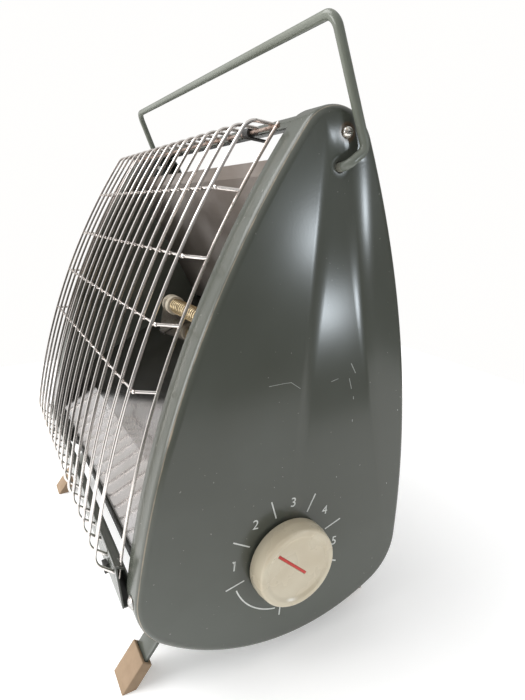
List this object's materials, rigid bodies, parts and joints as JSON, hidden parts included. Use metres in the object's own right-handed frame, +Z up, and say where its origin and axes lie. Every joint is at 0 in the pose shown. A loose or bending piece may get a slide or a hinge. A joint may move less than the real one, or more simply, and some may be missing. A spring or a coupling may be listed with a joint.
{
  "type": "electric radiant heater",
  "caption": "Portable electric radiant heater: two enamelled cheeks, polished trough reflector, wire-wound element, bowed wire guard, swinging handle, heat control knob and strap feet.",
  "frame": {"origin": "middle of the bounding box in plan, on the floor under the feet", "axes": "+Z up, -Y out of the heated front through the wire guard, +X towards the cheek that carries the control knob"},
  "size_m": [0.3278, 0.2044, 0.3668],
  "materials": {
    "paint": "gloss grey-green stove enamel",
    "bright_wire": "bright nickel plate, rust-stained at the top ends",
    "polished_reflector": "bright polished sheet",
    "dulled_reflector": "heat-dulled sheet",
    "fireclay": "unglazed",
    "resistance_wire": "straw-tinted by heat",
    "cream_plastic": "moulded cream, glossy",
    "red_plastic": "red",
    "black_plastic": "black",
    "brass_terminal": "dull brass",
    "foot_rubber": "tan rubber",
    "lead_sleeve": "woven sleeve",
    "zinc_steel": "zinc-plated, slightly rusted"
  },
  "bodies": {
    "heater_body": {"back_panel": "paint", "back_screw_high_left": "zinc_steel", "back_screw_high_right": "zinc_steel", "back_screw_low_left": "zinc_steel", "back_screw_low_right": "zinc_steel", "bottom_pan": "paint", "bottom_rail": "paint", "element_cap_left": "fireclay", "element_cap_right": "fireclay", "element_rod": "fireclay", "element_stand_left": "zinc_steel", "element_stand_right": "zinc_steel", "element_terminal_left": "brass_terminal", "element_terminal_right": "brass_terminal", "element_winding": "resistance_wire", "foot_front_left": "foot_rubber", "foot_front_right": "foot_rubber", "foot_rear_left": "foot_rubber", "foot_rear_right": "foot_rubber", "foot_strap_left": "paint", "foot_strap_right": "paint", "guard_clip_left": "black_plastic", "guard_clip_right": "black_plastic", "guard_cross_1": "bright_wire", "guard_cross_2": "bright_wire", "guard_cross_3": "bright_wire", "guard_cross_4": "bright_wire", "guard_rim_left": "bright_wire", "guard_rim_right": "bright_wire", "handle_stop_left": "zinc_steel", "handle_stop_right": "zinc_steel", "heat_regulator": "black_plastic", "lead_live": "lead_sleeve", "lead_return": "lead_sleeve", "lead_switched": "lead_sleeve", "left_cheek": "paint", "lower_reflector": "polished_reflector", "rail_clip_left": "black_plastic", "rail_clip_right": "black_plastic", "rail_screw_left": "zinc_steel", "rail_screw_right": "zinc_steel", "regulator_nut": "zinc_steel", "right_cheek": "paint", "strap_rivet_front_left": "zinc_steel", "strap_rivet_front_right": "zinc_steel", "strap_rivet_rear_left": "zinc_steel", "strap_rivet_rear_right": "zinc_steel", "supply_gland": "black_plastic", "terminal_block": "cream_plastic", "top_panel": "paint", "upper_reflector": "dulled_reflector", "wire_guard": "bright_wire"},
    "handle": {"handle": "paint", "handle_clip_right": "zinc_steel", "handle_clip_left": "zinc_steel"},
    "knob": {"knob": "cream_plastic", "knob_pointer": "red_plastic", "control_shaft": "zinc_steel"}
  },
  "joints": [
    {"name": "handle_swing", "type": "hinge", "parent": "heater_body", "child": "handle", "pos_m": [0, 0.03392, 0.29712], "axis": [-1, 0, 0], "range_deg": [0, 136]},
    {"name": "knob_turn", "type": "hinge", "parent": "heater_body", "child": "knob", "pos_m": [0.15035, 0.00479, 0.073], "axis": [-1, 0, 0], "range_deg": [-127.5, 161]}
  ]
}
